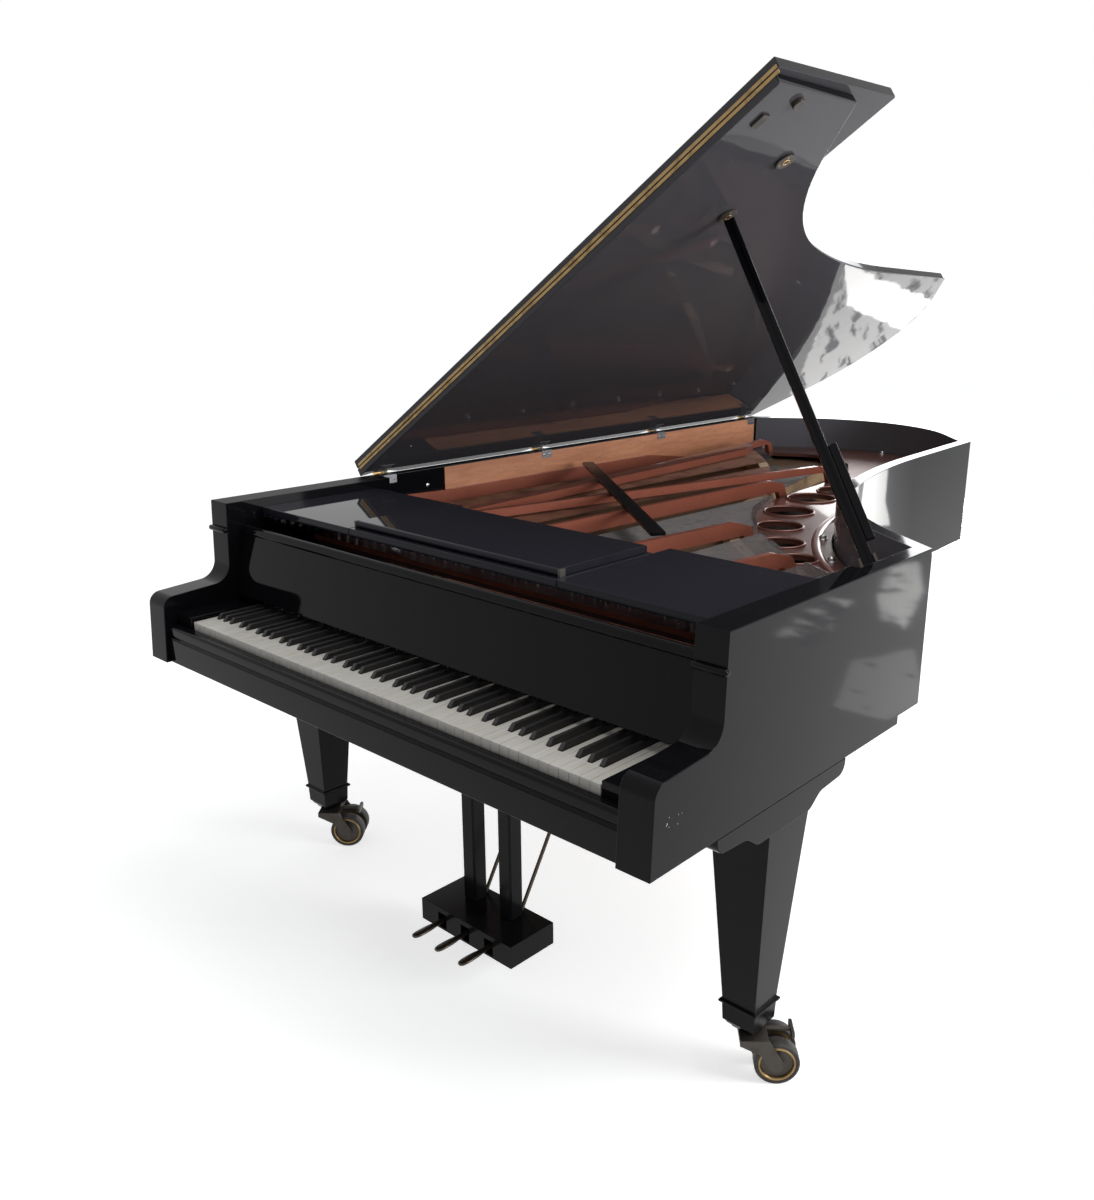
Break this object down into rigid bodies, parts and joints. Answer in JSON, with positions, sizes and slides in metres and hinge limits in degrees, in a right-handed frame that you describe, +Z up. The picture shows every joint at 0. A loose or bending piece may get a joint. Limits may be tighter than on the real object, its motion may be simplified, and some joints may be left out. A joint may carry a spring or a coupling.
{
  "type": "concert grand piano",
  "caption": "Concert grand piano in black gloss lacquer, lid open on its long prop, front flap folded back, keyboard uncovered, music desk folded flat, pedal lyre, legs on casters.",
  "frame": {"origin": "On the floor below the middle of the bounding box of the piano with its lid open.", "axes": "+X to the treble side, +Y from the player to the tail, +Z up."},
  "size_m": [1.5969, 2.7628, 1.8867],
  "materials": {
    "black_lacquer": "high-gloss black polyester lacquer",
    "spine_veneer": "gloss figured veneer",
    "maple": "bare beech and maple",
    "spruce": "varnished spruce",
    "plate_bronze": "copper-bronze paint, lacquered",
    "bar_black": "semi-gloss black paint",
    "steel": "bright drawn steel",
    "copper_wound": "copper winding on steel core",
    "hammer_felt": "pressed wool felt on wood",
    "damper_black": "black lacquered wood on felt",
    "key_white": "ivory-white moulded covering",
    "key_black": "satin ebony black",
    "brass": "polished brass, a little dulled",
    "dark_bronze": "dark bronze paint",
    "caster_tread": "darkened brass tyres"
  },
  "bodies": {
    "case": {"case_rim": "black_lacquer", "spine_facing": "spine_veneer", "inner_rim": "maple", "belly_rail": "maple", "soundboard": "spruce", "soundboard_ribs": "spruce", "rim_braces": "maple", "treble_bridge": "maple", "bass_bridge": "maple", "pin_block": "maple", "iron_plate": "plate_bronze", "plate_bolts": "steel", "cross_bar": "bar_black", "treble_strings": "steel", "bass_strings": "copper_wound", "tuning_pins": "steel", "keybed": "black_lacquer", "key_slip": "black_lacquer", "key_blocks": "black_lacquer", "music_shelf": "black_lacquer", "lid_hinge_rim_leaves": "brass", "prop_bracket": "dark_bronze", "legs": "black_lacquer", "leg_blocks": "black_lacquer", "lyre_box": "black_lacquer", "lyre_posts": "black_lacquer", "lyre_stays": "brass"},
    "lid": {"lid_main": "black_lacquer", "long_hinge_main_leaf": "brass", "lid_hinge_lid_leaves": "brass", "lid_fittings": "brass"},
    "flap": {"lid_flap": "black_lacquer", "long_hinge_flap_leaf": "brass"},
    "prop": {"prop_stick": "black_lacquer"},
    "half_prop": {"prop_half_stick": "black_lacquer"},
    "fallboard": {"fallboard": "black_lacquer"},
    "tray": {"desk_tray": "black_lacquer", "desk_hinges": "brass"},
    "desk": {"music_desk": "black_lacquer"},
    "action": {"keyframe": "maple", "action_frame": "maple"},
    "white_keys": {"white_keys": "key_white"},
    "black_keys": {"black_keys": "key_black"},
    "middle_c": {"middle_c_key": "key_white"},
    "white_wippens": {"white_key_wippens": "maple"},
    "black_wippens": {"black_key_wippens": "maple"},
    "middle_c_wippen": {"middle_c_wippen": "maple"},
    "white_hammers": {"white_key_hammers": "hammer_felt"},
    "black_hammers": {"black_key_hammers": "hammer_felt"},
    "middle_c_hammer": {"middle_c_hammer": "hammer_felt"},
    "dampers": {"damper_heads": "damper_black"},
    "pedal_left": {"pedal_left": "brass"},
    "pedal_middle": {"pedal_middle": "brass"},
    "pedal_right": {"pedal_right": "brass"},
    "fork_treble": {"caster_fork_treble": "dark_bronze"},
    "wheel_treble": {"caster_wheel_treble": "caster_tread"},
    "fork_bass": {"caster_fork_bass": "dark_bronze"},
    "wheel_bass": {"caster_wheel_bass": "caster_tread"},
    "fork_tail": {"caster_fork_tail": "dark_bronze"},
    "wheel_tail": {"caster_wheel_tail": "caster_tread"}
  },
  "joints": [
    {"name": "lid_hinge", "type": "hinge", "parent": "case", "child": "lid", "pos_m": [-0.772, 0.1613, 0.9905], "axis": [0, -1, 0], "range_deg": [0, 25]},
    {"name": "flap_hinge", "type": "hinge", "parent": "lid", "child": "flap", "pos_m": [-0.13565, -0.7399, 1.43692], "axis": [0.8348, 0, 0.5505], "range_deg": [0, 180]},
    {"name": "prop_fold", "type": "hinge", "parent": "case", "child": "prop", "pos_m": [0.689, -0.5937, 0.972], "axis": [-0.7118, -0.5916, -0.3787], "range_deg": [0, 58]},
    {"name": "half_prop_fold", "type": "hinge", "parent": "prop", "child": "half_prop", "pos_m": [0.68008, -0.5741, 1.01438], "axis": [-0.4153, 0.7892, -0.4524], "range_deg": [0, 20]},
    {"name": "fallboard_hinge", "type": "hinge", "parent": "case", "child": "fallboard", "pos_m": [0.005, -1.1667, 0.776], "axis": [1, 0, 0], "range_deg": [0, 100]},
    {"name": "desk_slide", "type": "slide", "parent": "case", "child": "tray", "axis": [0, -1, 0], "range_m": [0, 0.1]},
    {"name": "desk_tilt", "type": "hinge", "parent": "tray", "child": "desk", "pos_m": [-0.015, -1.0737, 0.9745], "axis": [1, 0, 0], "range_deg": [0, 70]},
    {"name": "action_shift", "type": "slide", "parent": "case", "child": "action", "axis": [1, 0, 0], "range_m": [0, 0.00291]},
    {"name": "pedal_left_press", "type": "hinge", "parent": "case", "child": "pedal_left", "pos_m": [-0.048, -1.0037, 0.083], "axis": [1, 0, 0], "range_deg": [0, 5], "stiffness_Nm_per_rad": 30, "springref_deg": -4.58},
    {"name": "pedal_middle_press", "type": "hinge", "parent": "case", "child": "pedal_middle", "pos_m": [0.03, -1.0037, 0.083], "axis": [1, 0, 0], "range_deg": [0, 5], "stiffness_Nm_per_rad": 30, "springref_deg": -4.58},
    {"name": "pedal_right_press", "type": "hinge", "parent": "case", "child": "pedal_right", "pos_m": [0.108, -1.0037, 0.083], "axis": [1, 0, 0], "range_deg": [0, 5], "stiffness_Nm_per_rad": 30, "springref_deg": -4.58},
    {"name": "damper_lift", "type": "slide", "parent": "case", "child": "dampers", "axis": [0, 0, 1], "range_m": [0, 0.006]},
    {"name": "white_key_press", "type": "hinge", "parent": "action", "child": "white_keys", "pos_m": [0.005, -1.1087, 0.716], "axis": [1, 0, 0], "range_deg": [0, 2.5], "stiffness_Nm_per_rad": 12, "springref_deg": -1.72},
    {"name": "white_wippens_lift", "type": "hinge", "parent": "action", "child": "white_wippens", "pos_m": [0.005, -0.7937, 0.765], "axis": [1, 0, 0], "range_deg": [-4.9, 0]},
    {"name": "white_hammers_swing", "type": "hinge", "parent": "action", "child": "white_hammers", "pos_m": [0.005, -0.8587, 0.79], "axis": [1, 0, 0], "range_deg": [0, 18]},
    {"name": "black_key_press", "type": "hinge", "parent": "action", "child": "black_keys", "pos_m": [0.005, -1.1087, 0.716], "axis": [1, 0, 0], "range_deg": [0, 2.5], "stiffness_Nm_per_rad": 8, "springref_deg": -1.72},
    {"name": "black_wippens_lift", "type": "hinge", "parent": "action", "child": "black_wippens", "pos_m": [0.005, -0.7937, 0.765], "axis": [1, 0, 0], "range_deg": [-4.9, 0]},
    {"name": "black_hammers_swing", "type": "hinge", "parent": "action", "child": "black_hammers", "pos_m": [0.005, -0.8587, 0.79], "axis": [1, 0, 0], "range_deg": [0, 18]},
    {"name": "middle_c_press", "type": "hinge", "parent": "action", "child": "middle_c", "pos_m": [0.005, -1.1087, 0.716], "axis": [1, 0, 0], "range_deg": [0, 2.5], "stiffness_Nm_per_rad": 0.3, "springref_deg": -1.72},
    {"name": "middle_c_wippen_lift", "type": "hinge", "parent": "action", "child": "middle_c_wippen", "pos_m": [0.005, -0.7937, 0.765], "axis": [1, 0, 0], "range_deg": [-4.9, 0]},
    {"name": "middle_c_hammer_swing", "type": "hinge", "parent": "action", "child": "middle_c_hammer", "pos_m": [0.005, -0.8587, 0.79], "axis": [1, 0, 0], "range_deg": [0, 18]},
    {"name": "caster_swivel_treble", "type": "hinge", "parent": "case", "child": "fork_treble", "pos_m": [0.702, -0.9667, 0.104], "axis": [0, 0, 1], "continuous": true},
    {"name": "caster_roll_treble", "type": "hinge", "parent": "fork_treble", "child": "wheel_treble", "pos_m": [0.74351, -0.93062, 0.045], "axis": [-0.6561, 0.7547, 0], "continuous": true},
    {"name": "caster_swivel_bass", "type": "hinge", "parent": "case", "child": "fork_bass", "pos_m": [-0.692, -0.9667, 0.104], "axis": [0, 0, 1], "continuous": true},
    {"name": "caster_roll_bass", "type": "hinge", "parent": "fork_bass", "child": "wheel_bass", "pos_m": [-0.65049, -0.93062, 0.045], "axis": [-0.6561, 0.7547, 0], "continuous": true},
    {"name": "caster_swivel_tail", "type": "hinge", "parent": "case", "child": "fork_tail", "pos_m": [-0.295, 0.99127, 0.104], "axis": [0, 0, 1], "continuous": true},
    {"name": "caster_roll_tail", "type": "hinge", "parent": "fork_tail", "child": "wheel_tail", "pos_m": [-0.25349, 1.02735, 0.045], "axis": [-0.6561, 0.7547, 0], "continuous": true}
  ],
  "couplings": [
    {"joint": "action_shift", "follows": "pedal_left_press", "m_per_rad": 0.03323},
    {"joint": "damper_lift", "follows": "pedal_right_press", "m_per_rad": 0.06646},
    {"joint": "white_wippens_lift", "follows": "white_key_press", "ratio": -1.9},
    {"joint": "white_hammers_swing", "follows": "white_key_press", "ratio": 7},
    {"joint": "black_wippens_lift", "follows": "black_key_press", "ratio": -1.9},
    {"joint": "black_hammers_swing", "follows": "black_key_press", "ratio": 7},
    {"joint": "middle_c_wippen_lift", "follows": "middle_c_press", "ratio": -1.9},
    {"joint": "middle_c_hammer_swing", "follows": "middle_c_press", "ratio": 7}
  ]
}
